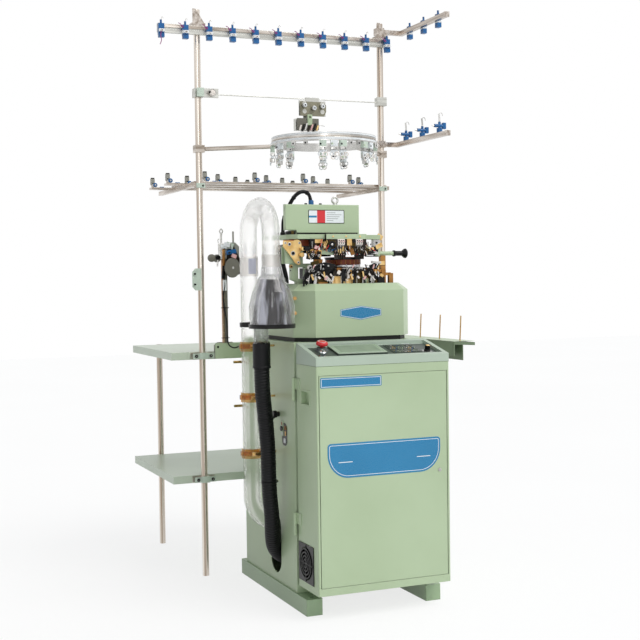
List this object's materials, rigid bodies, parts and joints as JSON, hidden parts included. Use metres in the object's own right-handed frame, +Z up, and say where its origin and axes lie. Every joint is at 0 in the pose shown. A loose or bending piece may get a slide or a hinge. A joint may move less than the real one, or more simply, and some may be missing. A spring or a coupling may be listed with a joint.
{
  "type": "industrial knitting machine",
  "caption": "Automatic sock knitting machine with a green cabinet body, control console, needle cylinder head, suction duct and a tall yarn creel with guide ring.",
  "frame": {"origin": "centre of the floor bolt pattern, on the floor under the base skids", "axes": "+Z up, +Y from the console front towards the yarn creel, +X to the right of someone facing the console"},
  "size_m": [1.144, 1.4308, 2.174],
  "materials": {
    "frame_green": "satin",
    "console_green": "satin",
    "skid_green": "satin",
    "blue_enamel": "gloss",
    "polished_steel": "satin",
    "cast_iron": "matte",
    "brass": "satin",
    "gold_plate": "satin",
    "rust_brown": "satin",
    "black_rubber": "matte",
    "black_plastic": "matte",
    "clear_plastic": "gloss",
    "alarm_red": "gloss",
    "net_dark": "matte",
    "aluminium_bar": "satin",
    "motor_grey": "satin",
    "guide_white": "satin"
  },
  "bodies": {
    "machine_base": {"base_skids": "skid_green", "bed_plate": "cast_iron", "body_hinge_leaves": "frame_green", "body_shell": "frame_green", "cam_levers": "gold_plate", "cam_ring": "cast_iron", "creel_bar": "aluminium_bar", "creel_poles": "polished_steel", "creel_shelves": "frame_green", "cylinder_housing": "cast_iron", "drive_belt": "black_rubber", "drive_motor": "motor_grey", "duct_clips": "gold_plate", "duct_funnel": "clear_plastic", "funnel_base": "black_plastic", "guide_ring": "polished_steel", "head_column": "frame_green", "hose_connector": "clear_plastic", "knitting_cover": "frame_green", "lint_filter": "net_dark", "peg_tray": "frame_green", "pivot_bracket": "gold_plate", "pole_clamps": "aluminium_bar", "rest_post": "gold_plate", "ribbed_hose": "black_rubber", "right_arms": "aluminium_bar", "ring_arms": "aluminium_bar", "selector_solenoids": "black_plastic", "side_tensioner": "aluminium_bar", "sinker_ring": "polished_steel", "suction_duct": "clear_plastic", "suction_manifold": "motor_grey", "tension_unit": "aluminium_bar", "yarn_feeders": "blue_enamel", "yarn_pegs": "brass", "yarn_tray": "aluminium_bar"},
    "swing_cabinet": {"cabinet_shell": "frame_green", "console_housing": "console_green", "control_panel": "blue_enamel", "cabinet_hinge_leaves": "frame_green", "fan_guard": "black_plastic", "fan_housing": "black_plastic"},
    "front_door": {"cabinet_door": "frame_green"},
    "lock_barrel": {"door_lock": "polished_steel"},
    "emergency_button": {"stop_button": "alarm_red"},
    "key_barrel": {"key_switch": "polished_steel"},
    "speed_knob": {"rotary_knob": "black_plastic"},
    "fan_blades": {"fan_rotor": "black_plastic"},
    "cylinder_body": {"needle_cylinder": "polished_steel", "cylinder_shaft": "polished_steel"},
    "motor_wheel": {"motor_pulley": "polished_steel"},
    "head_body": {"head_plate": "frame_green", "head_box": "frame_green", "yarn_fingers": "guide_white", "lift_handle": "frame_green", "handle_grip": "black_plastic", "head_cable": "black_rubber"},
    "dial_body": {"dial_drum": "rust_brown"},
    "latch_body": {"side_latch": "black_plastic"},
    "knob_body": {"side_knob": "black_plastic"}
  },
  "joints": [
    {"name": "cabinet_swing", "type": "hinge", "parent": "machine_base", "child": "swing_cabinet", "pos_m": [-0.257, -0.2425, 0.53], "axis": [0, 0, -1], "range_deg": [0, 90]},
    {"name": "door_swing", "type": "hinge", "parent": "swing_cabinet", "child": "front_door", "pos_m": [-0.222, -0.4175, 0.467], "axis": [0, 0, -1], "range_deg": [0, 100]},
    {"name": "lock_turn", "type": "hinge", "parent": "front_door", "child": "lock_barrel", "pos_m": [0.208, -0.4255, 0.479], "axis": [0, -1, 0], "range_deg": [0, 90]},
    {"name": "stop_press", "type": "slide", "parent": "swing_cabinet", "child": "emergency_button", "axis": [0, 0.2368, -0.9715], "range_m": [0, 0.004], "stiffness_N_per_m": 800},
    {"name": "key_turn", "type": "hinge", "parent": "swing_cabinet", "child": "key_barrel", "pos_m": [-0.203, -0.37498, 0.88062], "axis": [0, 0.2368, -0.9715], "range_deg": [0, 90]},
    {"name": "knob_turn", "type": "hinge", "parent": "swing_cabinet", "child": "speed_knob", "pos_m": [0.198, -0.36138, 0.88393], "axis": [0, 0.2368, -0.9715], "range_deg": [0, 300]},
    {"name": "fan_spin", "type": "hinge", "parent": "swing_cabinet", "child": "fan_blades", "pos_m": [-0.234, -0.3205, 0.1785], "axis": [-1, 0, 0], "continuous": true},
    {"name": "cylinder_spin", "type": "hinge", "parent": "machine_base", "child": "cylinder_body", "pos_m": [0, -0.0955, 1], "axis": [0, 0, 1], "continuous": true},
    {"name": "motor_spin", "type": "hinge", "parent": "machine_base", "child": "motor_wheel", "pos_m": [0.12, -0.0955, 0.82], "axis": [0, 0, 1], "continuous": true},
    {"name": "head_lift", "type": "hinge", "parent": "machine_base", "child": "head_body", "pos_m": [-0.207, -0.0755, 1.231], "axis": [0, -1, 0], "range_deg": [0, 25]},
    {"name": "dial_spin", "type": "hinge", "parent": "head_body", "child": "dial_body", "pos_m": [0, -0.0955, 1.2], "axis": [0, 0, 1], "continuous": true},
    {"name": "latch_turn", "type": "hinge", "parent": "machine_base", "child": "latch_body", "pos_m": [-0.25, -0.1145, 0.615], "axis": [-1, 0, 0], "range_deg": [0, 90]},
    {"name": "side_knob_turn", "type": "hinge", "parent": "machine_base", "child": "knob_body", "pos_m": [-0.25, -0.0815, 0.663], "axis": [-1, 0, 0], "range_deg": [0, 180]}
  ],
  "couplings": [
    {"joint": "motor_spin", "follows": "cylinder_spin", "ratio": 1.5385},
    {"joint": "dial_spin", "follows": "cylinder_spin", "ratio": 1}
  ]
}
